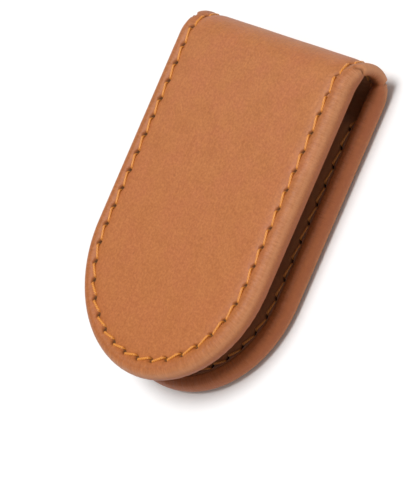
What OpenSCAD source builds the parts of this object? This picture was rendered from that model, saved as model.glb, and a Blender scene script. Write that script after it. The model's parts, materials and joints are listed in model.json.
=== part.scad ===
// Folded leather money clip with magnets in both flaps.
// It lies on its back flap: +Z is up, +Y runs to the fold, and X is across the strap.
// The origin is the middle of the base of the whole folded clip.

/* [Strap] */
// Width of the strap
strap_w = 47.6; // [44:0.2:54]
// Length of the folded clip, from the fold to the rounded tip
clip_len = 69.6; // [64:0.2:84]
// Thickness of the outer leather
leather_t = 1.2; // [1.1:0.1:1.4]
// Thickness of the lining leather
lining_t = 1.1; // [0.9:0.1:1.2]
// Thickness of the stiffener board, and of the magnets set in it
board_t = 2; // [1.5:0.1:2.5]

/* [Fold] */
// Height of the gap that holds the folded notes
note_gap = 4.4; // [4.2:0.1:7]
// Clearance between neighbouring lengths of the fold
link_gap = 0.16; // [0.12:0.02:0.24]

/* [Edges] */
// From the strap's edge to the stitch line
stitch_inset = 3.4; // [3.2:0.1:3.8]
// From the strap's edge to the lining's edge
lining_inset = 2.4; // [2.4:0.1:2.6]
// From the strap's edge to the stiffener board's edge
board_inset = 4.6; // [4.5:0.1:5.5]

/* [Stitching] */
// Thickness of the sewing thread
thread_d = 0.6; // [0.4:0.1:0.6]
// Stitches down each straight side of a flap
side_stitches = 11; // [10:1:13]
// Stitches round the tip of a flap
tip_stitches = 17; // [16:1:19]

/* [Magnets] */
// Diameter of a magnet
magnet_d = 12; // [8:0.5:12]
// From the clip's middle line to a magnet's middle
magnet_x = 9.5; // [8:0.5:9.5]
// From the middle of the tip's arc to the magnets, towards the tip
magnet_drop = 3.5; // [0:0.5:4]

/* [Hidden] */

$fn = 96;

leather_colour = [0.76, 0.49, 0.31];
lining_colour = [0.63, 0.4, 0.26];
board_colour = [0.5, 0.43, 0.35];
magnet_colour = [0.78, 0.78, 0.8];
thread_colour = [0.86, 0.56, 0.22];

// Thicknesses and heights
strap_t = leather_t + lining_t;
flap_t = strap_t + board_t;
clip_h = 2 * flap_t + note_gap;
edge_r = flap_t / 2;

// The fold: four equal lengths of strap between the two flaps, joined by five bends.
// Each bend line lies between the leather and the lining.
fold_links = 4;
bend = 180 / (fold_links + 1);
fold_r = clip_h / 2;
link_len = 2 * (fold_r - leather_t) * tan(bend / 2);
fold_y = clip_len / 2 - fold_r;
bend_y = fold_y + link_len / 2;

// How far the lining's end leans back from a bend line, so that the bend can close
lean = bend / 2 + 1;
lining_lean = lining_t * tan(lean);

// Plan of a flap
tip_y = strap_w / 2 - clip_len / 2;
end_y = bend_y - link_gap / 2;

// Stitch line, its grooves, and how deep the thread's middle lies in them
stitch_x = strap_w / 2 - stitch_inset;
groove_w = thread_d + 0.4;
groove_depth = thread_d + 0.1;
thread_sink = thread_d / 2 + 0.06;
hole_len = 0.7;
side_pitch = (bend_y - tip_y) / side_stitches;
magnet_fit = 0.05;

// Past the stiffener board the lining slopes down, along one stitch, to lie on the leather
ramp_top = bend_y - 2 * side_pitch;
ramp_foot = bend_y - side_pitch;
ramp_shift = 0.4;
board_end = ramp_top - ramp_shift;

// Larger than the clip in every direction, for cutting
beyond = 2;

// Needle holes of one flap: down the right side, round the tip and up the left side
flap_holes = concat(
    [for (i = [0 : side_stitches]) [stitch_x, bend_y - i * side_pitch]],
    [for (i = [1 : tip_stitches - 1])
        [stitch_x * cos(180 * i / tip_stitches), tip_y - stitch_x * sin(180 * i / tip_stitches)]],
    [for (i = [0 : side_stitches]) [-stitch_x, tip_y + i * side_pitch]]
);

// Side views as [y, z] outlines, outer face at z = 0
flap_side = [
    [-clip_len, 0], [end_y, 0], [end_y, leather_t], [end_y - lining_lean, strap_t],
    [ramp_foot, strap_t], [ramp_top, flap_t], [-clip_len, flap_t]
];
lining_side = [
    [-clip_len, leather_t + board_t], [board_end, leather_t + board_t],
    [ramp_foot - ramp_shift, leather_t], [end_y, leather_t],
    [end_y - lining_lean, strap_t], [ramp_foot, strap_t],
    [ramp_top, flap_t], [-clip_len, flap_t]
];
bobbin_side = [
    [-clip_len, flap_t - groove_depth], [ramp_top, flap_t - groove_depth],
    [ramp_foot, strap_t - groove_depth], [end_y, strap_t - groove_depth],
    [end_y, flap_t + beyond], [-clip_len, flap_t + beyond]
];
link_end = link_len / 2 - link_gap / 2;
link_side = [
    [-link_end, -beyond], [link_end, -beyond], [link_end, leather_t],
    [link_end - lining_lean, strap_t], [lining_lean - link_end, strap_t], [-link_end, leather_t]
];
link_lining_side = [
    [-link_end, leather_t], [link_end, leather_t],
    [link_end - lining_lean, strap_t], [lining_lean - link_end, strap_t]
];

// Height of a flap's inner face at y
function inner_z(y) =
    flap_t - board_t * min(1, max(0, (y - ramp_top) / side_pitch));

// Where the bobbin thread's middle lies at a point of the plan, short of the lining's end
function bobbin_point(p) =
    let (y = min(p.y, end_y - lining_lean - thread_d / 4))
    [p.x, y, inner_z(y) - thread_sink];

// Extrudes a [y, z] outline across the strap, centred on x = 0
module across(width) {
    translate([-width / 2, 0, 0])
        rotate([90, 0, 90])
            linear_extrude(width)
                children();
}

// Plan of a flap, inset from the strap's edge all round
module flap_plan(inset, plan_end = end_y) {
    plan_r = strap_w / 2 - inset;
    translate([0, tip_y])
        circle(r = plan_r);
    translate([-plan_r, tip_y])
        square([2 * plan_r, plan_end - tip_y]);
}

// A strip of the strap with half-round long edges, from one y to another
module rolled_strip(y_from, y_to) {
    edge_x = strap_w / 2 - edge_r;
    translate([-edge_x, y_from, 0])
        cube([2 * edge_x, y_to - y_from, flap_t]);
    for (side = [-1, 1])
        translate([side * edge_x, y_from, edge_r])
            rotate([-90, 0, 0])
                cylinder(r = edge_r, h = y_to - y_from);
}

// A whole flap with a half-round edge, before anything is let into it
module rolled_flap() {
    rolled_strip(tip_y, end_y);
    translate([0, tip_y, 0])
        cylinder(r = strap_w / 2 - edge_r, h = flap_t);
    translate([0, tip_y, edge_r])
        rotate_extrude()
            translate([strap_w / 2 - edge_r, 0])
                circle(r = edge_r);
}

// The plan of a groove that follows the stitch line
module groove_plan() {
    difference() {
        flap_plan(stitch_inset - groove_w / 2);
        flap_plan(stitch_inset + groove_w / 2, end_y + beyond);
    }
}

// A straight length of thread between two points
module thread(from, to) {
    run = to - from;
    translate(from)
        rotate([0, acos(run.z / norm(run)), atan2(run.y, run.x)])
            cylinder(d = thread_d, h = norm(run), $fn = 24);
}

// Parts of a flap, drawn as the back flap: outer face down on z = 0

module flap_lining_blank() {
    intersection() {
        linear_extrude(flap_t + beyond)
            flap_plan(lining_inset);
        across(strap_w)
            polygon(lining_side);
    }
}

module flap_board_blank() {
    translate([0, 0, leather_t])
        linear_extrude(board_t)
            flap_plan(board_inset, board_end);
}

module flap_leather() {
    color(leather_colour)
        difference() {
            intersection() {
                rolled_flap();
                across(strap_w + beyond)
                    polygon(flap_side);
            }
            flap_lining_blank();
            flap_board_blank();
            translate([0, 0, -beyond])
                linear_extrude(groove_depth + beyond)
                    groove_plan();
        }
}

module flap_lining() {
    color(lining_colour)
        difference() {
            flap_lining_blank();
            intersection() {
                linear_extrude(flap_t + beyond)
                    groove_plan();
                across(strap_w)
                    polygon(bobbin_side);
            }
        }
}

module flap_board() {
    color(board_colour)
        difference() {
            flap_board_blank();
            for (side = [-1, 1])
                translate([side * magnet_x, tip_y - magnet_drop, leather_t - beyond])
                    cylinder(d = magnet_d + 2 * magnet_fit, h = board_t + 2 * beyond);
        }
}

module flap_magnet(side) {
    color(magnet_colour)
        translate([side * magnet_x, tip_y - magnet_drop, leather_t])
            cylinder(d = magnet_d, h = board_t);
}

module flap_needle_thread() {
    color(thread_colour)
        for (i = [0 : len(flap_holes) - 2]) {
            run = flap_holes[i + 1] - flap_holes[i];
            short = run / norm(run) * hole_len / 2;
            from = flap_holes[i] + short;
            to = flap_holes[i + 1] - short;
            thread([from.x, from.y, thread_sink], [to.x, to.y, thread_sink]);
        }
}

module flap_bobbin_thread() {
    color(thread_colour)
        for (i = [0 : len(flap_holes) - 2]) {
            run = flap_holes[i + 1] - flap_holes[i];
            short = run / norm(run) * hole_len / 2;
            from = flap_holes[i] + short;
            to = flap_holes[i + 1] - short;
            thread(bobbin_point(from), bobbin_point(to));
        }
}

// Turns a flap part over to make the front flap
module as_front() {
    translate([0, 0, clip_h])
        mirror([0, 0, 1])
            children();
}

// Parts of one length of the fold, drawn at y = 0 with the outer face down

module link_arc(r, width) {
    translate([-width / 2, 0, fold_r])
        rotate([0, 90, 0])
            cylinder(r = r, h = width);
}

module link_lining_blank() {
    across(strap_w - 2 * lining_inset)
        polygon(link_lining_side);
}

module link_leather() {
    color(leather_colour)
        difference() {
            intersection() {
                rolled_strip(-link_len, link_len);
                link_arc(fold_r, strap_w + beyond);
                across(strap_w + beyond)
                    polygon(link_side);
            }
            link_lining_blank();
            for (side = [-1, 1])
                difference() {
                    translate([side * stitch_x - groove_w / 2, -link_len, -beyond])
                        cube([groove_w, 2 * link_len, leather_t + beyond]);
                    link_arc(fold_r - groove_depth, strap_w + beyond);
                }
        }
}

module link_lining() {
    color(lining_colour)
        difference() {
            link_lining_blank();
            for (side = [-1, 1])
                translate([side * stitch_x - groove_w / 2, -link_len, strap_t - groove_depth])
                    cube([groove_w, 2 * link_len, groove_depth + beyond]);
        }
}

module link_needle_thread() {
    stitch_angle = 2 * asin((link_len - hole_len) / 2 / fold_r);
    color(thread_colour)
        for (side = [-1, 1])
            translate([side * stitch_x, 0, fold_r])
                rotate([0, 90, 0])
                    rotate([0, 0, -stitch_angle / 2])
                        rotate_extrude(angle = stitch_angle)
                            translate([fold_r - thread_sink, 0])
                                circle(d = thread_d, $fn = 24);
}

module link_bobbin_thread() {
    half = link_end - lining_lean - thread_d / 4;
    z = strap_t - thread_sink;
    color(thread_colour)
        for (side = [-1, 1])
            thread([side * stitch_x, -half, z], [side * stitch_x, half, z]);
}

// Puts one length of the fold in its place round the fold
module in_fold(number) {
    translate([0, fold_y, fold_r])
        rotate([number * bend, 0, 0])
            translate([0, 0, -fold_r])
                children();
}

flap_leather();  // back_leather
flap_lining();  // back_lining
flap_board();  // back_board
flap_magnet(-1);  // back_magnet_left
flap_magnet(1);  // back_magnet_right
flap_needle_thread();  // back_needle_thread
flap_bobbin_thread();  // back_bobbin_thread
in_fold(1) link_leather();  // fold_1_leather
in_fold(1) link_lining();  // fold_1_lining
in_fold(1) link_needle_thread();  // fold_1_needle_thread
in_fold(1) link_bobbin_thread();  // fold_1_bobbin_thread
in_fold(2) link_leather();  // fold_2_leather
in_fold(2) link_lining();  // fold_2_lining
in_fold(2) link_needle_thread();  // fold_2_needle_thread
in_fold(2) link_bobbin_thread();  // fold_2_bobbin_thread
in_fold(3) link_leather();  // fold_3_leather
in_fold(3) link_lining();  // fold_3_lining
in_fold(3) link_needle_thread();  // fold_3_needle_thread
in_fold(3) link_bobbin_thread();  // fold_3_bobbin_thread
in_fold(4) link_leather();  // fold_4_leather
in_fold(4) link_lining();  // fold_4_lining
in_fold(4) link_needle_thread();  // fold_4_needle_thread
in_fold(4) link_bobbin_thread();  // fold_4_bobbin_thread
as_front() flap_leather();  // front_leather
as_front() flap_lining();  // front_lining
as_front() flap_board();  // front_board
as_front() flap_magnet(-1);  // front_magnet_left
as_front() flap_magnet(1);  // front_magnet_right
as_front() flap_needle_thread();  // front_needle_thread
as_front() flap_bobbin_thread();  // front_bobbin_thread
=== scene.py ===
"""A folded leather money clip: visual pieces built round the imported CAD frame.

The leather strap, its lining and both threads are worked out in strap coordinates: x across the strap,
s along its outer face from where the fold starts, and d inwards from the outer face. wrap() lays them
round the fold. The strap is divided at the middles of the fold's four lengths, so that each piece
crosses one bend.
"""

import json
import math

import bmesh
import bpy
import numpy as np
from mathutils import Matrix, Vector


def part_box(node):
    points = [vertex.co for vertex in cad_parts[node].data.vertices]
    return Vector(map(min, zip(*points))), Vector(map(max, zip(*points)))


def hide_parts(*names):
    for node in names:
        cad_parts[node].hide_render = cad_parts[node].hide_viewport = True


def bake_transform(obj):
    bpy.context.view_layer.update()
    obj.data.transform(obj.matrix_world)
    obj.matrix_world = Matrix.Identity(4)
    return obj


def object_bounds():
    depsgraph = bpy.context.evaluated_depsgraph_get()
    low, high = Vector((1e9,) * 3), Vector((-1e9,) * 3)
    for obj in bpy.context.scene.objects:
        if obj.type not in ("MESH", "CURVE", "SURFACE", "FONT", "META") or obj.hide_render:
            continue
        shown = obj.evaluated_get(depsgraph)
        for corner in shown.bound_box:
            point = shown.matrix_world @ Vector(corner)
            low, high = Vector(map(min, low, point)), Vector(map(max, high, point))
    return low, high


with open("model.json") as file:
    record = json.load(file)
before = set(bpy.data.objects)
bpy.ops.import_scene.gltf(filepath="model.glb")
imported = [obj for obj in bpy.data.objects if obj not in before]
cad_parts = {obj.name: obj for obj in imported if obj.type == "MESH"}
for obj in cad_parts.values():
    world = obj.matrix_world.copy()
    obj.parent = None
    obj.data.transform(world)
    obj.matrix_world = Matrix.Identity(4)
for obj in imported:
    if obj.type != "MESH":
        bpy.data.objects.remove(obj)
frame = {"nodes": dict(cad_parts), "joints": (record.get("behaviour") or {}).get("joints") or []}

MM = 0.001
cad_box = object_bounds()

# ---------------------------------------------------------------- sizes, from the frame

leather_lo, leather_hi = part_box("back_leather")
lining_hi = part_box("back_lining")[1]
board_lo, board_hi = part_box("back_board")
seam_lo, seam_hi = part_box("back_needle_thread")
bends = [joint["pos_m"] for joint in frame["joints"]]

CLIP_H = cad_box[1].z
HALF_W = leather_hi.x
FLAP_T = leather_hi.z
LEATHER_T = board_lo.z
LINING_T = FLAP_T - board_hi.z
STRAP_T = LEATHER_T + LINING_T
THREAD_R = (seam_hi.z - seam_lo.z) / 2
THREAD_SINK = (seam_hi.z + seam_lo.z) / 2
STITCH_INSET = HALF_W - seam_hi.x + THREAD_R
LINING_INSET = HALF_W - lining_hi.x
BOARD_INSET = HALF_W - board_hi.x

# The fold: a half circle of the outer face about (FOLD_Y, FOLD_R), with equal bends between its lengths
FOLD_R = CLIP_H / 2
BEND = math.pi / len(bends)
FOLD_LEN = math.pi * FOLD_R
LINK_LEN = FOLD_R * BEND
FOLD_Y = bends[0][1] - (FOLD_R - bends[0][2]) * math.tan(BEND / 2)

# The rounded tip's arc starts here, on the back flap
TIP_S = leather_lo.y + HALF_W - FOLD_Y

# Where the stiffener board ends and the flap thins down to the strap of the fold
BOARD_S = board_hi.y - FOLD_Y

# The bead keeps the flap's thickness this far into the fold, and then runs out over this length
BEAD_RUNS_ON = 4.6 * MM
BEAD_RUNS_OUT = 2.0 * MM

# Its inner side is followed up to this turn round the fold, in radians, short of a quarter turn
BEAD_TURN = 1.2

# The lining slopes down from the flap to the fold over this length, past the end of the board
LINING_SLOPE = 4.2 * MM

# ---------------------------------------------------------------- strap coordinates


def smooth(t):
    """Smooth step from 0 at t = 0 to 1 at t = 1."""
    t = np.clip(t, 0, 1)
    return t * t * (3 - 2 * t)


def wrap(x, s, d):
    """Strap coordinates to points of the frame."""
    turn = np.clip(s / FOLD_R, 0, math.pi)
    past = s - np.clip(s, 0, FOLD_LEN)
    y = FOLD_Y + (FOLD_R - d) * np.sin(turn) + past * np.cos(turn)
    z = FOLD_R - (FOLD_R - d) * np.cos(turn)
    return np.stack([x + 0 * y, y, z], -1)


def from_fold(s):
    """Distance along the strap from the nearer end of the fold: positive inside the fold."""
    return np.minimum(s, FOLD_LEN - s)


def bead_thickness(s):
    """Thickness of the turned edge: its inner side runs straight on into the fold, where it ends."""
    turn = np.clip(from_fold(s) / FOLD_R, 0, BEAD_TURN)
    straight = FOLD_R - (FOLD_R - FLAP_T) / np.cos(turn)
    end = FLAP_T + (STRAP_T - FLAP_T) * smooth((from_fold(s) - BEAD_RUNS_ON) / BEAD_RUNS_OUT)
    return np.maximum(np.minimum(straight, end), STRAP_T)


def inner_depth(s):
    """Depth of the lining's face: it slopes down past the end of the stiffener board."""
    return FLAP_T + (STRAP_T - FLAP_T) * smooth((from_fold(s) - BOARD_S) / LINING_SLOPE)


# ---------------------------------------------------------------- seam and needle holes

SIDE_STITCHES = 11
TIP_STITCHES = 17
STITCH_R = HALF_W - STITCH_INSET
SIDE_PITCH = (bends[0][1] - FOLD_Y - TIP_S) / SIDE_STITCHES

# A flap's seam: down the right side from the middle of the fold's first length, round the tip, and up
SIDE_RUN = LINK_LEN - TIP_S
TIP_RUN = math.pi * STITCH_R
FLAP_RUN = 2 * SIDE_RUN + TIP_RUN

# A needle hole is a slit, turned from the seam's direction. The thread comes out near its ends.
SLIT_ANGLE = math.radians(43)
SLIT_LONG = 0.78 * MM
SLIT_WIDE = 0.40 * MM
SLIT_DEPTH = 0.55 * MM
SLIT_REACH = 0.55 * MM

# The hole's rim, as shares of the slit's size: where its slope starts, and how wide it is
RIM_START = 0.45
RIM_WIDTH = 0.75

# The leather is pulled down round a hole over about this distance. Points further off are skipped.
HOLE_NEAR = 0.75 * MM
HOLE_SEARCH = 2 * MM


def hole_runs():
    """Distances along a flap's seam to its needle holes."""
    bend_s = bends[0][1] - FOLD_Y
    side = [LINK_LEN / 2] + [LINK_LEN - bend_s + i * SIDE_PITCH for i in range(1, SIDE_STITCHES + 1)]
    tip = [SIDE_RUN + TIP_RUN * i / TIP_STITCHES for i in range(1, TIP_STITCHES)]
    return side + tip + [FLAP_RUN - run for run in reversed(side)]


def seam_frame(run):
    """At a distance along the back flap's seam: the base on the middle line, and the way outwards."""
    angle = np.clip((run - SIDE_RUN) / STITCH_R, 0, math.pi)
    past_tip = np.maximum(SIDE_RUN - run, 0) + np.maximum(run - SIDE_RUN - TIP_RUN, 0)
    return TIP_S + past_tip, np.cos(angle), -np.sin(angle)


def slit_direction(along_x, along_s):
    """The seam's direction at a hole, turned by the slit's angle as seen from the outer face."""
    c, n = math.cos(SLIT_ANGLE), math.sin(SLIT_ANGLE)
    return (c * along_x - n * along_s, n * along_x + c * along_s)


def flap_holes(front):
    """A flap's needle holes as (x, s, slit direction), from the right of the fold round to the left."""
    holes = []
    for run in hole_runs():
        base_s, out_x, out_s = seam_frame(run)
        x, s = STITCH_R * out_x, base_s + STITCH_R * out_s
        if front:
            holes.append((x, FOLD_LEN - s, *slit_direction(out_s, out_x)))
        else:
            holes.append((x, s, *slit_direction(out_s, -out_x)))
    return holes


def fold_hole(side, number):
    """A needle hole on one side of the fold, at one of the bends."""
    return (side * STITCH_R, (number + 0.5) * LINK_LEN, *slit_direction(0, 1))


# ---------------------------------------------------------------- mesh building


class Grid:
    """Stations along the strap's edge: each has a base on the middle line and a direction outwards."""

    def __init__(self, base_s, dir_x, dir_s, run):
        self.base_s, self.dir_x, self.dir_s, self.run = base_s, dir_x, dir_s, run

    def place(self, inset):
        """Plan position (x, s) of points this far in from the strap's edge."""
        out = HALF_W - inset
        return out * self.dir_x, self.base_s + out * self.dir_s


# Stations between two needle holes, on a flap and on a length of the fold. They crowd near the holes.
FLAP_STATIONS = 14
LINK_STATIONS = 16
HOLE_CROWDING = 0.6
END_CROWDING = 1.4

# Width of the thin row of faces along each cut end
END_ROW = 0.02 * MM


def stitched_steps(start, end, holes, count):
    """Distances from start to end, closest together near the holes, with a thin row at each end."""
    knots = [start, *holes, end]
    found = [start, start + END_ROW]
    for a, b in zip(knots[:-1], knots[1:]):
        if a == start:
            t = 1 - (1 - np.linspace(0, 1, count // 2 + 1)) ** END_CROWDING
        elif b == end:
            t = np.linspace(0, 1, count // 2 + 1) ** END_CROWDING
        else:
            t = np.linspace(0, 1, count + 1)
            t = t - HOLE_CROWDING * np.sin(2 * math.pi * t) / (2 * math.pi)
        found += list(a + (b - a) * t[1:])
    found[-1:] = [end - END_ROW, end]
    return np.array(found)


def flap_grid(front):
    """Stations round a flap, from the right of the fold's first length, round the tip, to the left."""
    seam = stitched_steps(0, FLAP_RUN, hole_runs(), FLAP_STATIONS)
    base_s, dir_x, dir_s = seam_frame(seam)
    run = LINK_LEN - np.minimum(seam, FLAP_RUN - seam)
    if front:
        base_s, dir_s, run = FOLD_LEN - base_s, -dir_s, FOLD_LEN - run
    return [Grid(base_s, dir_x, dir_s, run)]


def link_grids(number):
    """Stations of the strap between the middles of two of the fold's lengths: right side, then left."""
    start, end = number * LINK_LEN, (number + 1) * LINK_LEN
    s = stitched_steps(start, end, [(start + end) / 2], LINK_STATIONS)
    one = np.ones(len(s))
    return [Grid(s, one, 0 * one, s), Grid(s[::-1], -one, 0 * one, s[::-1])]


def unevenness(x, s, size):
    """A smooth, irregular height from 0 to 1 over the strap, with features of about this size."""
    a, b = x / size, s / size
    wave = np.sin(1.7 * a + 1.3 * np.sin(0.9 * b + 0.4)) + np.sin(1.1 * b - 1.9 * np.sin(0.7 * a + 1.1))
    wave += 0.6 * np.sin(2.3 * a + 2.9 * b + 1.2) + 0.4 * np.sin(4.1 * a - 3.3 * b)
    return 0.5 + wave / 6


def slits(x, s, holes):
    """How far into a needle hole each point is, from 0 to 1, and how near to one."""
    inside, near = np.zeros(x.shape), np.zeros(x.shape)
    for hx, hs, ux, us in holes:
        dx, ds = x - hx, s - hs
        close = (abs(dx) < HOLE_SEARCH) & (abs(ds) < HOLE_SEARCH)
        along, across = (dx * ux + ds * us)[close], (ds * ux - dx * us)[close]
        reach = np.sqrt((along / SLIT_LONG) ** 2 + (across / SLIT_WIDE) ** 2)
        inside[close] = np.maximum(inside[close], 1 - smooth((reach - RIM_START) / RIM_WIDTH))
        pull = np.exp(-(along ** 2 + across ** 2) / HOLE_NEAR ** 2)
        near[close] = np.maximum(near[close], pull)
    return inside, near


def seam_valley(inset, x, s, holes, bead_side, panel_side, depth):
    """Depth of a stitched face near its seam: two padded slopes that meet at the stitch line."""
    inside, near = slits(x, s, holes)
    e = inset - STITCH_INSET
    width = np.where(e > 0, panel_side, bead_side)
    slope = np.clip(1 - abs(e) / width, 0, 1) ** 2
    return slope * depth * (VALLEY_BETWEEN + VALLEY_AT_HOLES * near) + SLIT_DEPTH * inside, inside, near


def ripple(run, pitch, drift, sway):
    """Creases across the strap's edge, from 0 to 1, whose spacing wanders."""
    return 0.5 + 0.5 * np.sin(run / pitch + sway * np.sin(run / drift))


def flap_share(thickness):
    """1 where the strap is as thick as a flap, 0 where it is only the fold's two leathers."""
    return (thickness - STRAP_T) / (FLAP_T - STRAP_T)


# Rows from the middle of the strap to the stitch line, closest together near it, and on to the bead
PANEL_WIDTH = 18.5 * MM
PANEL_EVEN = 0.13
panel_share = np.linspace(1, 0, 29)
PANEL_STEPS = PANEL_WIDTH * (PANEL_EVEN * panel_share + (1 - PANEL_EVEN) * panel_share ** 3)
BEAD_STEPS = np.linspace(0, 1, 10)[1:-1]
LINING_STEPS = np.linspace(0.1, 0.68, 5) * MM
ROLL_STEPS = 18

# The stitch valley: its depth in each leather, and its width towards the panel and, in the lining,
# towards the cut edge. It is this share as deep between two holes, and deeper by this share at one.
LEATHER_VALLEY = 0.46 * MM
LINING_VALLEY = 0.42 * MM
LEATHER_VALLEY_WIDTH = 2.6 * MM
LINING_VALLEY_WIDTH = 2.2 * MM
LINING_VALLEY_EDGE = 0.9 * MM
VALLEY_BETWEEN = 0.88
VALLEY_AT_HOLES = 0.3

# How far every surface is kept inside the CAD model's outer faces
INSIDE_CAD = 0.025 * MM

# Gap between a hidden face of the leather and the lining or board next to it
CLEAR = 0.02 * MM

# Unevenness of the two faces, and the depth of the lining's creases
SWELL = 0.05 * MM
LINING_CREASE = 0.05 * MM

# The lining's unevenness is taken this far along the pattern, so that it isn't the leather's
LINING_SHIFT = 9

# Dents in the bead
GATHER_DEPTH = 0.07 * MM
CREASE_DEPTH = 0.022 * MM
PUCKER_DEPTH = 0.48 * MM

# The pucker starts this far into the fold and slants on round the bead, up to this angle in radians.
# A second, fainter dent runs beside it on the flap's side.
PUCKER_START = 4.7 * MM
PUCKER_SLANT = 1.3 * MM
PUCKER_SLANT_TO = 0.9
PUCKER_WIDTH = 0.36 * MM
SECOND_OFFSET = 1.0 * MM
SECOND_WIDTH = 0.22 * MM
SECOND_SHARE = 0.35

# Angles, in radians, of the rows round the hidden hollow of the bead
POCKET_ANGLES = (2.5, 2.0, 1.57, 1.1, 0.6)


def bead_dents(grid, a):
    """Dents in the bead at an angle round it, and the pucker's share of them: gathers round the tip, fine
    creases, and a slanted double pucker on each side where the bead runs out into the fold."""
    tip = smooth((TIP_S + 4 * MM - from_fold(grid.base_s + grid.dir_s * HALF_W)) / (6 * MM))
    gathers = ripple(grid.run, 0.31 * MM, 1.13 * MM, 1.7) * tip * smooth((a - 1.7) / 0.9)
    creases = ripple(grid.run, 0.19 * MM, 0.83 * MM, 2.6) * math.sin(a) ** 2
    place = from_fold(grid.run) - (PUCKER_START + PUCKER_SLANT * min(a, PUCKER_SLANT_TO))
    second = SECOND_SHARE * np.exp(-((place + SECOND_OFFSET) / SECOND_WIDTH) ** 2)
    pucker = np.exp(-(place / PUCKER_WIDTH) ** 2) + second
    pucker = pucker * smooth((a + 0.1) / 0.4) * smooth((2.3 - a) / 1.1)
    return GATHER_DEPTH * gathers + CREASE_DEPTH * creases + PUCKER_DEPTH * pucker, pucker


def turned_in_rows(bead, inner):
    """Rows of (inset, depth) from the bead's foot: down the cut edge of the lining, along the flange
    that is turned in under it, and back round the hidden inner face."""
    r = bead / 2
    flange = inner - LINING_T
    skived = flange - (0.35 + 0.45 * flap_share(inner)) * MM
    ceiling = (0.62 + 0.53 * flap_share(inner)) * MM
    pocket = 0.95 * np.maximum(r - (0.50 + 0.75 * flap_share(bead)) * MM, 0.15 * MM)
    edge, board_edge = LINING_INSET, BOARD_INSET - 0.3 * MM
    hidden = LEATHER_T - CLEAR
    foot = (np.maximum(edge - CLEAR, r + 0.05 * MM), np.maximum(bead - 0.06 * MM, inner + CLEAR))
    rows = [foot, (edge + 0.10 * MM, inner - 0.35 * MM), (edge + 0.16 * MM, inner - 0.85 * MM),
            (edge + 0.45 * MM, flange - 0.04 * MM), (board_edge, flange - 0.05 * MM),
            (board_edge, skived), (edge + 0.6 * MM, skived)]
    rows += [(r - pocket * math.sin(a), r - pocket * math.cos(a)) for a in POCKET_ANGLES]
    rows += [(STITCH_INSET, np.maximum(ceiling, 0.8 * MM)), (BOARD_INSET + 0.4 * MM, ceiling),
             (BOARD_INSET + 1.4 * MM, hidden), (12 * MM, hidden), (HALF_W, hidden)]
    return rows


def leather_section(grid, holes):
    """Rows of (inset, depth) of the leather, with their marks: the panel, the stitch valley, the rolled
    bead, the turned-in flange under the lining, and back along the inner face."""
    one = np.ones(len(grid.run))
    bead = bead_thickness(grid.base_s)
    r = bead / 2
    insets = [HALF_W * one] + [(STITCH_INSET + step) * one for step in PANEL_STEPS]
    insets += [STITCH_INSET + (r - STITCH_INSET) * step for step in BEAD_STEPS]
    rows, marks = [], []
    for inset in insets:
        x, s = grid.place(inset)
        depth, inside, near = seam_valley(inset, x, s, holes, STITCH_INSET - r,
                                          LEATHER_VALLEY_WIDTH, LEATHER_VALLEY)
        swell = unevenness(x, s, 5 * MM) * smooth((inset - 1 * MM) / (2 * MM))
        rows.append((inset, depth + INSIDE_CAD + SWELL * swell))
        marks.append((inside, near))
    for a in np.linspace(0, math.pi, ROLL_STEPS + 1):
        dent, pucker = bead_dents(grid, a)
        reach = r - INSIDE_CAD - dent
        rows.append((r - reach * math.sin(a), r - reach * math.cos(a)))
        # The pucker paints shade into its crease: a share of the needle holes' dark colour and the
        # darkening near them
        marks.append((0.45 * pucker, np.clip(pucker, 0, 1)))
    for inset, depth in turned_in_rows(bead, inner_depth(grid.base_s)):
        rows.append((inset * one, depth * one))
        marks.append((0 * one, 0 * one))
    return rows, marks


def lining_section(grid, holes):
    """Rows of the lining: its face, the stitch valley, the rounded cut edge and the hidden back."""
    one = np.ones(len(grid.run))
    inner = inner_depth(grid.base_s)
    insets = [HALF_W, *(STITCH_INSET + PANEL_STEPS), *(STITCH_INSET - LINING_STEPS)]
    rows, marks = [], []
    for inset in insets:
        x, s = grid.place(inset * one)
        depth, inside, near = seam_valley(inset * one, x, s, holes, LINING_VALLEY_EDGE,
                                          LINING_VALLEY_WIDTH, LINING_VALLEY)
        creases = ripple(s, 0.21 * MM, 6 * MM, 1.5) * smooth(from_fold(s) / (2 * MM) + 0.8)
        swell = unevenness(x, s + LINING_SHIFT, 4 * MM)
        depth = depth + INSIDE_CAD + SWELL * swell + LINING_CREASE * creases
        rows.append((inset * one, inner - depth))
        marks.append((inside, near))
    corner_r = 0.26 * MM
    back = inner - LINING_T + 0.03 * MM
    face = inner - INSIDE_CAD
    hidden = [(LINING_INSET + corner_r * (1 - math.sin(a)), face - corner_r * (1 - math.cos(a)))
              for a in np.linspace(0, math.pi / 2, 5)]
    hidden += [(LINING_INSET, back + 0.25 * MM), (LINING_INSET + 0.12 * MM, back + 0.03 * MM)]
    hidden += [(inset, back) for inset in (STITCH_INSET, 5 * MM, 9 * MM, 15 * MM, HALF_W)]
    for inset, depth in hidden:
        rows.append((inset * one, depth))
        marks.append((0 * one, 0 * one))
    return rows, marks


# Points nearer than about this, in metres, are one vertex
WELD = 1e-7

# Share of x in the edge layer's third number, which makes the two sides' wrinkles differ
SIDE_SHIFT = 0.15


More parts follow.
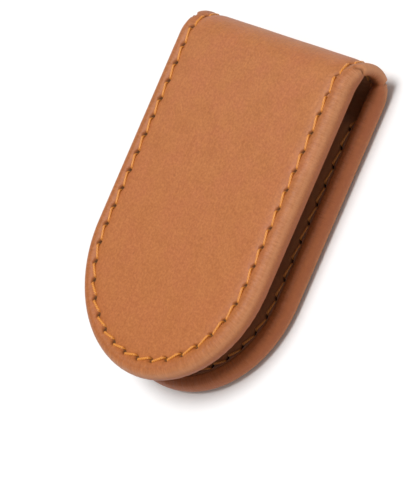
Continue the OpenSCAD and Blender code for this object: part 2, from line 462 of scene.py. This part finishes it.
def build(name, points, faces, caps, layers, material):
    """A closed mesh object from points that may coincide. Caps are outlines whose edges stay sharp."""
    keys = np.round(points / WELD).astype(np.int64)
    _, first, index = np.unique(keys, axis=0, return_index=True, return_inverse=True)
    index = index.ravel()
    polygons = []
    for outline in [*faces, *caps]:
        corners = index[outline]
        corners = corners[corners != np.roll(corners, 1)]
        if len(set(corners)) > 2:
            polygons.append(corners.tolist())
    sharp_from = len(polygons) - len(caps)
    mesh = bpy.data.meshes.new(name)
    mesh.from_pydata(points[first].tolist(), [], polygons)
    mesh.polygons.foreach_set("use_smooth", np.ones(len(mesh.polygons), bool))
    for polygon in mesh.polygons[sharp_from:]:
        for corner in polygon.loop_indices:
            mesh.edges[mesh.loops[corner].edge_index].use_edge_sharp = True
    for layer, values in layers.items():
        kind = "FLOAT_VECTOR" if values.ndim == 2 else "FLOAT"
        attribute = mesh.attributes.new(layer, kind, "POINT")
        attribute.data.foreach_set("vector" if values.ndim == 2 else "value",
                                   values[first].astype(np.float32).ravel())
    bm = bmesh.new()
    bm.from_mesh(mesh)
    bmesh.ops.recalc_face_normals(bm, faces=bm.faces)
    bm.to_mesh(mesh)
    bm.free()
    mesh.materials.append(material)
    piece = bpy.data.objects.new(name, mesh)
    bpy.context.scene.collection.objects.link(piece)
    return piece


def strap_piece(name, grids, section, holes, material):
    """One length of the leather or the lining, from the section's rows at each of the grids' stations."""
    points, faces, layers, offset = [], [], {"strap": [], "edge": [], "dent_shade": [], "near": []}, 0
    starts, stops = [], []
    for grid in grids:
        rows, marks = section(grid, holes)
        for (inset, depth), (inside, near) in zip(rows, marks):
            x, s = grid.place(inset)
            points.append(wrap(x, s, depth))
            layers["strap"].append(np.stack([x, s, depth], -1) / MM)
            layers["edge"].append(np.stack([grid.run, inset, SIDE_SHIFT * x], -1) / MM)
            # The slit mask carries painted shade in the needle holes, and in the bead's pucker
            layers["dent_shade"].append(inside)
            layers["near"].append(near)
        nv, nu = len(rows), len(grid.run)
        i = np.arange(nv * nu).reshape(nv, nu) + offset
        quads = np.stack([i[:-1, :-1], i[1:, :-1], i[1:, 1:], i[:-1, 1:]], -1).reshape(-1, 4)
        faces.append(quads)
        starts.append(i[:, 0])
        stops.append(i[:, -1])
        offset += nv * nu
    # a cut end runs from where one grid starts to where the grid before it, round the piece, stops
    caps = [np.concatenate([starts[k], stops[k - 1][::-1]]) for k in range(len(grids))]
    stacked = {k: np.concatenate(v) for k, v in layers.items()}
    return build(name, np.concatenate(points), np.concatenate(faces), caps, stacked, material)


# ---------------------------------------------------------------- thread

PLIES = 3
LAY = 2.1 * MM
THREAD_SIDES = 18
THREAD_RINGS = 81

# Shares of the thread's radius: in the grooves between the plies, and what a ply's crest adds to that
PLY_GROOVE = 0.80
PLY_BULGE = 0.14

# A stitch lies this much above the CAD's, and dives into its holes this deep over this run
THREAD_LIFT = 0.04 * MM
DIVE_DEPTH = 0.85 * MM
DIVE_RUN = 0.5 * MM

# Small steps along a stitch, as a share of it, and inwards, that give the thread's directions
STEP_ALONG = 0.004
STEP_INWARDS = 0.1 * MM


def thread_path(a, b, inner, t):
    """Middle of a stitch from hole a to hole b, in strap coordinates, on the outer or the inner face."""
    step = np.array([b[0] - a[0], b[1] - a[1]])
    length = np.linalg.norm(step)
    along = step / length

    def reach(hole):
        direction = np.array(hole[2:])
        return direction * math.copysign(SLIT_REACH, direction @ along)

    start, end = np.array(a[:2]) + reach(a), np.array(b[:2]) - reach(b)
    plan = start[None] + (end - start)[None] * t[:, None]
    from_end = np.minimum(t, 1 - t) * length
    dive = np.clip(1 - from_end / DIVE_RUN, 0, 1) ** 2
    depth = THREAD_SINK - THREAD_LIFT + DIVE_DEPTH * dive
    if inner:
        depth = inner_depth(plan[:, 1]) - depth
    return plan[:, 0], plan[:, 1], depth


def thread_tube(a, b, inner, t0, t1):
    """A twisted three-ply thread along part of a stitch: its points, quads and texture coordinates."""
    whole = np.linspace(0, 1, THREAD_RINGS)
    rounding = 1e-9
    t = whole[(whole >= t0 - rounding) & (whole <= t1 + rounding)]
    x, s, d = thread_path(a, b, inner, t)
    middle = wrap(x, s, d)
    deeper = wrap(x, s, d + STEP_INWARDS) - middle
    ahead = wrap(*thread_path(a, b, inner, np.clip(t + STEP_ALONG, 0, 1)))
    behind = wrap(*thread_path(a, b, inner, np.clip(t - STEP_ALONG, 0, 1)))
    tangent = ahead - behind
    tangent /= np.linalg.norm(tangent, axis=1)[:, None]
    side = np.cross(tangent, deeper)
    side /= np.linalg.norm(side, axis=1)[:, None]
    up = np.cross(side, tangent)
    run = t * math.dist(a[:2], b[:2])
    angle = np.linspace(0, 2 * math.pi, THREAD_SIDES, endpoint=False)
    phase = PLIES * (angle[None] - 2 * math.pi * run[:, None] / LAY)
    lobe = abs(np.cos(phase / 2))
    radius = THREAD_R * (PLY_GROOVE + PLY_BULGE * lobe)
    cos, sin = np.cos(angle)[None, :, None], np.sin(angle)[None, :, None]
    points = middle[:, None] + radius[:, :, None] * (cos * side[:, None] + sin * up[:, None])
    n, m = len(t), THREAD_SIDES
    i = np.arange(n * m).reshape(n, m)
    quads = np.stack([i[:-1], i[1:], np.roll(i[1:], -1, 1), np.roll(i[:-1], -1, 1)], -1).reshape(-1, 4)
    coords = np.stack([np.repeat(run[:, None], m, 1), phase * THREAD_R / PLIES, lobe * MM], -1) / MM
    return points.reshape(-1, 3), quads, [i[0], i[-1]], coords.reshape(-1, 3)


def thread_piece(name, stitches, inner, material):
    """A run of stitches as one mesh. Each stitch is (hole, hole, from, to)."""
    points, faces, caps, coords, offset = [], [], [], [], 0
    for a, b, t0, t1 in stitches:
        p, q, ends, c = thread_tube(a, b, inner, t0, t1)
        points.append(p)
        faces.append(q + offset)
        caps += [e + offset for e in ends]
        coords.append(c)
        offset += len(p)
    return build(name, np.concatenate(points), np.concatenate(faces), caps,
                 {"thread": np.concatenate(coords)}, material)


def flap_stitches(front):
    """A flap's stitches, with half a stitch over the fold's first length at each end."""
    holes = flap_holes(front)
    right, left = [fold_hole(side, 3 if front else 1) for side in (1, -1)]
    whole = [(a, b, 0.0, 1.0) for a, b in zip(holes[:-1], holes[1:])]
    return [(right, holes[0], 0.5, 1.0), *whole, (holes[-1], left, 0.0, 0.5)]


def link_stitches(number):
    """The two half stitches on each side of one of the fold's inner bends."""
    found = []
    for side in (1, -1):
        before, hole, after = [fold_hole(side, number + k) for k in (-1, 0, 1)]
        found += [(before, hole, 0.5, 1.0), (hole, after, 0.0, 0.5)]
    return found


# ---------------------------------------------------------------- node helpers


class Nodes:
    """Short calls for building one material's node tree."""

    def __init__(self, name):
        self.material = bpy.data.materials.new(name)
        self.material.use_nodes = True
        self.tree = self.material.node_tree
        self.tree.nodes.clear()
        self.output = self.add("ShaderNodeOutputMaterial")
        self.shader = self.add("ShaderNodeBsdfPrincipled")
        self.tree.links.new(self.shader.outputs["BSDF"], self.output.inputs["Surface"])

    def add(self, kind, **settings):
        made = self.tree.nodes.new(kind)
        for key, value in settings.items():
            setattr(made, key, value)
        return made

    def put(self, socket, value):
        """Links a socket to a node's output, or sets its value."""
        if isinstance(value, bpy.types.NodeSocket):
            self.tree.links.new(value, socket)
        else:
            socket.default_value = value

    def attribute(self, name, output="Vector"):
        return self.add("ShaderNodeAttribute", attribute_name=name).outputs[output]

    def part(self, vector, axis):
        """One coordinate of a vector: X, Y or Z."""
        made = self.add("ShaderNodeSeparateXYZ")
        self.put(made.inputs[0], vector)
        return made.outputs[axis]

    def math(self, operation, a, b):
        made = self.add("ShaderNodeMath", operation=operation)
        self.put(made.inputs[0], a)
        self.put(made.inputs[1], b)
        return made.outputs[0]

    def stretch(self, vector, scale):
        made = self.add("ShaderNodeVectorMath", operation="MULTIPLY")
        self.put(made.inputs[0], vector)
        self.put(made.inputs[1], scale)
        return made.outputs[0]

    def noise(self, vector, scale, detail=2.0, roughness=0.5):
        made = self.add("ShaderNodeTexNoise")
        self.put(made.inputs["Vector"], vector)
        self.put(made.inputs["Scale"], scale)
        self.put(made.inputs["Detail"], detail)
        self.put(made.inputs["Roughness"], roughness)
        return made.outputs["Fac"]

    def cells(self, vector, scale, feature="F1"):
        made = self.add("ShaderNodeTexVoronoi", feature=feature)
        self.put(made.inputs["Vector"], vector)
        self.put(made.inputs["Scale"], scale)
        return made.outputs["Distance"]

    def ramp(self, value, low, high, to_low=0.0, to_high=1.0):
        """Maps low..high to to_low..to_high, held at the ends."""
        made = self.add("ShaderNodeMapRange", clamp=True)
        for socket, number in zip(made.inputs[1:5], (low, high, to_low, to_high)):
            socket.default_value = number
        self.put(made.inputs["Value"], value)
        return made.outputs["Result"]

    def mix(self, amount, a, b):
        """Mixes two colours. The node's colour sockets come after its number and vector sockets."""
        made = self.add("ShaderNodeMix", data_type="RGBA")
        self.put(made.inputs["Factor"], amount)
        first, second, result = made.inputs[6], made.inputs[7], made.outputs[2]
        self.put(first, a)
        self.put(second, b)
        return result

    def bump(self, height, distance, normal=None):
        made = self.add("ShaderNodeBump")
        made.inputs["Distance"].default_value = distance
        self.put(made.inputs["Height"], height)
        if normal is not None:
            self.put(made.inputs["Normal"], normal)
        return made.outputs["Normal"]

    def finish(self, colour, roughness, normal, **constants):
        self.put(self.shader.inputs["Base Color"], colour)
        self.put(self.shader.inputs["Roughness"], roughness)
        if normal is not None:
            self.put(self.shader.inputs["Normal"], normal)
        for key, value in constants.items():
            self.shader.inputs[key.replace("_", " ")].default_value = value
        return self.material


def colour(red, green, blue):
    """A linear colour from sRGB values of 0 to 255."""
    def linear(v):
        v /= 255
        return v / 12.92 if v <= 0.04045 else ((v + 0.055) / 1.055) ** 2.4
    return (linear(red), linear(green), linear(blue), 1.0)


# ---------------------------------------------------------------- materials


def leather_material():
    """Tan calf leather: mottled and faintly streaked, with pores, a fine grain and creased edges. Painted
    light:
    a highlight on the bead's upper outer side, shade under the bead, in its creases and in and round the
    needle holes, and a sheen that keeps it paler near the fold and more saturated towards the tips."""
    n = Nodes("leather")
    strap, edge = n.attribute("strap"), n.attribute("edge")
    dent_shade, near = n.attribute("dent_shade", "Fac"), n.attribute("near", "Fac")
    inset, depth = n.part(edge, "Y"), n.part(strap, "Z")

    mottle = n.noise(strap, 0.22, 4, 0.55)
    streaks = n.noise(n.stretch(strap, (1.5, 0.09, 0.5)), 1.0, 3, 0.6)
    fine = n.noise(strap, 2.2, 3, 0.65)
    pores = n.cells(strap, 3.1)
    spots = n.cells(strap, 0.20)
    scuffs = n.noise(n.stretch(strap, (0.5, 1.3, 1.0)), 0.9, 5, 0.7)
    wrinkles = n.noise(n.stretch(edge, (2.9, 0.28, 1.0)), 1.0, 3, 0.55)
    on_bead = n.math("MULTIPLY", n.ramp(inset, 3.2, 2.2), n.ramp(inset, 0.05, 0.7))
    # Masks of painted light on the bead: a highlight on its upper outer side, and shade on its lower side
    shoulder_highlight = n.math("MULTIPLY", n.ramp(inset, 1.7, 0.5), n.ramp(depth, 1.9, 0.9))
    underside_shade = n.math("MULTIPLY", n.ramp(inset, 2.8, 1.6), n.ramp(depth, 1.2, 2.6, 0.0, 0.62))

    base = colour(175, 110, 64)
    tone = n.mix(n.ramp(mottle, 0.34, 0.66), colour(166, 102, 58), colour(184, 119, 71))
    tone = n.mix(0.58, base, tone)
    tone = n.mix(n.ramp(n.noise(strap, 0.13, 3, 0.6), 0.42, 0.62, 0.0, 0.65), tone, colour(178, 106, 70))
    # Painted sheen: away from the fold's middle the tone turns darker and more saturated, so the fold
    # keeps a paler, greyer sheen
    from_middle = n.math("ABSOLUTE", n.math("SUBTRACT", n.part(strap, "Y"), FOLD_LEN / 2 / MM), 0.0)
    tone = n.mix(n.ramp(from_middle, 8, 66, 0.0, 0.60), tone, colour(173, 98, 43))
    tone = n.mix(n.ramp(streaks, 0.55, 0.78, 0, 0.34), tone, colour(150, 81, 38))
    tone = n.mix(n.ramp(fine, 0.34, 0.66, 0.36, 0.0), tone, colour(130, 70, 32))
    tone = n.mix(n.ramp(n.noise(strap, 1.1, 4, 0.7), 0.45, 0.68, 0.0, 0.28), tone, colour(194, 122, 68))
    tone = n.mix(n.ramp(pores, 0.0, 0.16, 0.26, 0.0), tone, colour(116, 62, 28))
    tone = n.mix(n.ramp(spots, 0.035, 0.075, 0.25, 0.0), tone, colour(112, 60, 28))
    tone = n.mix(n.ramp(scuffs, 0.66, 0.80, 0.0, 0.22), tone, colour(202, 138, 87))
    # Painted highlight: a pale greyish-pink band on the bead's upper outer side
    tone = n.mix(n.math("MULTIPLY", shoulder_highlight, 0.45), tone, colour(210, 150, 108))
    # Painted shade on the bead's lower, downward-facing side
    tone = n.mix(underside_shade, tone, colour(150, 76, 38))
    # Painted shade in the troughs of the bead's creases
    creases = n.math("MULTIPLY", on_bead, n.ramp(wrinkles, 0.42, 0.66, 0.30, 0.0))
    tone = n.mix(creases, tone, colour(138, 76, 36))
    # Painted shade round the needle holes, where the leather dips, and in the bead's pucker
    tone = n.mix(n.ramp(near, 0.25, 1.0, 0.0, 0.40), tone, colour(122, 66, 30))
    # Painted shade inside the needle holes and in the bead's pucker
    tone = n.mix(n.ramp(dent_shade, 0.15, 0.75), tone, colour(100, 66, 35))

    rough = n.ramp(fine, 0.25, 0.75, 0.46, 0.58)
    rough = n.math("ADD", rough, n.ramp(dent_shade, 0.1, 0.9, 0.0, 0.2))

    grain = n.bump(n.noise(strap, 5.5, 3, 0.6), 0.020 * MM)
    network = n.bump(n.ramp(n.cells(strap, 1.9, "DISTANCE_TO_EDGE"), 0.0, 0.22), 0.010 * MM, grain)
    dimples = n.bump(n.ramp(pores, 0.0, 0.22), 0.012 * MM, network)
    soft = n.bump(n.noise(strap, 0.9, 3, 0.5), 0.06 * MM, dimples)
    creased = n.bump(n.math("MULTIPLY", wrinkles, on_bead), 0.20 * MM, soft)
    return n.finish(tone, rough, creased, Specular_IOR_Level=0.32)


def lining_material():
    """Lining leather: matt, with a short nap, and painted shade in and round the needle holes."""
    n = Nodes("lining")
    strap = n.attribute("strap")
    dent_shade, near = n.attribute("dent_shade", "Fac"), n.attribute("near", "Fac")
    cloudy = n.noise(strap, 0.35, 4, 0.6)
    nap = n.noise(n.stretch(strap, (3.0, 1.6, 2.0)), 2.0, 4, 0.7)
    fibres = n.noise(n.stretch(strap, (7.0, 2.5, 2.0)), 1.4, 3, 0.6)
    tone = n.mix(n.ramp(cloudy, 0.30, 0.70), colour(146, 91, 54), colour(158, 101, 62))
    tone = n.mix(n.ramp(nap, 0.3, 0.7, 0.35, 0.0), tone, colour(112, 68, 38))
    tone = n.mix(n.ramp(fibres, 0.58, 0.75, 0.0, 0.3), tone, colour(180, 126, 84))
    # Painted shade round and inside the needle holes
    tone = n.mix(n.ramp(near, 0.2, 1.0, 0.0, 0.35), tone, colour(102, 60, 32))
    tone = n.mix(n.ramp(dent_shade, 0.15, 0.75), tone, colour(50, 28, 14))
    rough = n.ramp(nap, 0.3, 0.7, 0.78, 0.92)
    normal = n.bump(nap, 0.05 * MM, n.bump(fibres, 0.03 * MM))
    return n.finish(tone, rough, normal, Specular_IOR_Level=0.25, Sheen_Weight=0.25, Sheen_Roughness=0.45)


def thread_material(name, body, light, dark):
    """Waxed twisted thread: bright on the plies, with painted shade in the grooves between them."""
    n = Nodes(name)
    coords = n.attribute("thread")
    lobe = n.part(coords, "Z")
    fibre = n.noise(n.stretch(coords, (1.2, 9.0, 0.0)), 2.0, 3, 0.6)
    patch = n.noise(coords, 0.5, 2, 0.5)
    # Painted shade in the grooves between the plies
    tone = n.mix(n.ramp(lobe, 0.15, 0.85), dark, body)
    tone = n.mix(n.ramp(fibre, 0.45, 0.75, 0.0, 0.55), tone, light)
    tone = n.mix(n.ramp(patch, 0.35, 0.7, 0.0, 0.25), tone, dark)
    rough = n.ramp(fibre, 0.3, 0.7, 0.38, 0.55)
    normal = n.bump(fibre, 0.02 * MM)
    return n.finish(tone, rough, normal, Specular_IOR_Level=0.5, Sheen_Weight=0.1, Sheen_Roughness=0.4)


def board_material():
    """Pressed fibre board: matt grey-brown with long fibres and flecks."""
    n = Nodes("board")
    place = n.stretch(n.add("ShaderNodeTexCoord").outputs["Object"], (1 / MM, 1 / MM, 1 / MM))
    fibres = n.noise(n.stretch(place, (0.6, 3.2, 3.0)), 1.3, 4, 0.65)
    flecks = n.cells(n.stretch(place, (1.0, 0.5, 1.0)), 1.1)
    tone = n.mix(n.ramp(fibres, 0.3, 0.7), colour(118, 98, 76), colour(158, 136, 108))
    tone = n.mix(n.ramp(flecks, 0.05, 0.2, 0.45, 0.0), tone, colour(84, 66, 48))
    rough = n.ramp(fibres, 0.3, 0.7, 0.80, 0.95)
    return n.finish(tone, rough, n.bump(fibres, 0.04 * MM), Specular_IOR_Level=0.2)


def magnet_material():
    """Nickel plating with fine turning marks and a few handling scratches."""
    n = Nodes("magnet")
    place = n.stretch(n.add("ShaderNodeTexCoord").outputs["Object"], (1 / MM, 1 / MM, 1 / MM))
    scratches = n.noise(n.stretch(place, (0.4, 6.0, 1.0)), 1.5, 4, 0.7)
    blush = n.noise(place, 0.6, 3, 0.5)
    tone = n.mix(n.ramp(blush, 0.35, 0.65), colour(196, 194, 190), colour(214, 213, 211))
    tone = n.mix(n.ramp(scratches, 0.62, 0.72, 0.0, 0.35), tone, colour(168, 166, 162))
    rough = n.ramp(scratches, 0.35, 0.7, 0.18, 0.36)
    return n.finish(tone, rough, n.bump(scratches, 0.004 * MM), Metallic=1.0)


def floor_material():
    """Matt white paper."""
    n = Nodes("pale_floor")
    return n.finish((0.82, 0.82, 0.82, 1.0), 0.9, None, Specular_IOR_Level=0.1)


# ---------------------------------------------------------------- pieces

LEATHER = leather_material()
LINING = lining_material()
NEEDLE = thread_material("needle_thread", colour(216, 136, 46), colour(240, 176, 92), colour(182, 106, 32))
BOBBIN = thread_material("bobbin_thread", colour(200, 124, 44), colour(224, 160, 84), colour(164, 94, 28))

names = ["back", "fold_1", "fold_2", "fold_3", "front"]
stands_for = [["back"], ["fold_1"], ["fold_2", "fold_3"], ["fold_4"], ["front"]]


def blend_over(piece):
    """Bakes the piece's world transform into its mesh."""
    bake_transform(piece)


for number, (name, nodes) in enumerate(zip(names, stands_for)):
    flap = number in (0, 4)
    front = number == 4
    if flap:
        grids, holes = flap_grid(front), flap_holes(front)
        stitches = flap_stitches(front)
    else:
        grids, holes = link_grids(number), [fold_hole(side, number) for side in (1, -1)]
        stitches = link_stitches(number)
    made = {
        "leather": strap_piece(f"{name}_leather_skin", grids, leather_section, holes, LEATHER),
        "lining": strap_piece(f"{name}_lining_skin", grids, lining_section, holes, LINING),
        "needle_thread": thread_piece(f"{name}_needle_stitches", stitches, False, NEEDLE),
        "bobbin_thread": thread_piece(f"{name}_bobbin_stitches", stitches, True, BOBBIN),
    }
    for part, piece in made.items():
        blend_over(piece)
        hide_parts(*[f"{node}_{part}" for node in nodes])

board, magnet = board_material(), magnet_material()
for flap in ("back", "front"):
    for node, material in (("board", board), ("magnet_left", magnet), ("magnet_right", magnet)):
        mesh = frame["nodes"][f"{flap}_{node}"].data
        mesh.materials.clear()
        mesh.materials.append(material)

# ---------------------------------------------------------------- stage, light and camera


def make_floor():
    """A wide pale floor that the clip's back flap lies on."""
    half = 4.0
    corners = [(-half, -half, 0), (half, -half, 0), (half, half, 0), (-half, half, 0)]
    mesh = bpy.data.meshes.new("floor")
    mesh.from_pydata(corners, [], [(0, 1, 2, 3)])
    mesh.materials.append(floor_material())
    floor = bpy.data.objects.new("floor", mesh)
    bpy.context.scene.collection.objects.link(floor)


def make_light(name, place, softness, strength):
    """A wide soft light, far off on the side of this place, that lights everything evenly."""
    data = bpy.data.lights.new(name, "SUN")
    data.angle = softness
    data.energy = strength
    lamp = bpy.data.objects.new(name, data)
    lamp.location = place
    lamp.rotation_mode = "QUATERNION"
    lamp.rotation_quaternion = (-Vector(place)).to_track_quat("-Z", "Y")
    bpy.context.scene.collection.objects.link(lamp)


def make_world(strength):
    world = bpy.data.worlds.new("studio")
    world.use_nodes = True
    back = world.node_tree.nodes["Background"]
    back.inputs["Color"].default_value = (1.0, 1.0, 1.0, 1.0)
    back.inputs["Strength"].default_value = strength
    bpy.context.scene.world = world


def make_camera(aim, distance, azimuth, elevation, roll, lens):
    """A camera that looks at a point from an angle in degrees, turned about its own axis by roll."""
    data = bpy.data.cameras.new("camera")
    data.sensor_width = 36.0
    data.lens = lens
    data.clip_start, data.clip_end = 0.01, 20.0
    a, e = math.radians(azimuth), math.radians(elevation)
    back = Vector((math.sin(a) * math.cos(e), -math.cos(a) * math.cos(e), math.sin(e)))
    camera = bpy.data.objects.new("camera", data)
    turn = (-back).to_track_quat("-Z", "Y").to_matrix() @ Matrix.Rotation(math.radians(roll), 3, "Z")
    camera.matrix_world = Matrix.Translation(Vector(aim) + back * distance) @ turn.to_4x4()
    bpy.context.scene.collection.objects.link(camera)
    bpy.context.scene.camera = camera


make_floor()
make_world(0.30)
make_light("key", (0.02, 0.08, 0.72), math.radians(28), 3.14)
make_light("fill", (0.66, -0.06, 0.26), math.radians(30), 0.25)
make_camera(aim=(-0.0025, -0.0080, 0.0026), distance=0.454, azimuth=90.46, elevation=44.31,
            roll=-66.95, lens=172.8)
bpy.context.scene.view_settings.view_transform = "Standard"
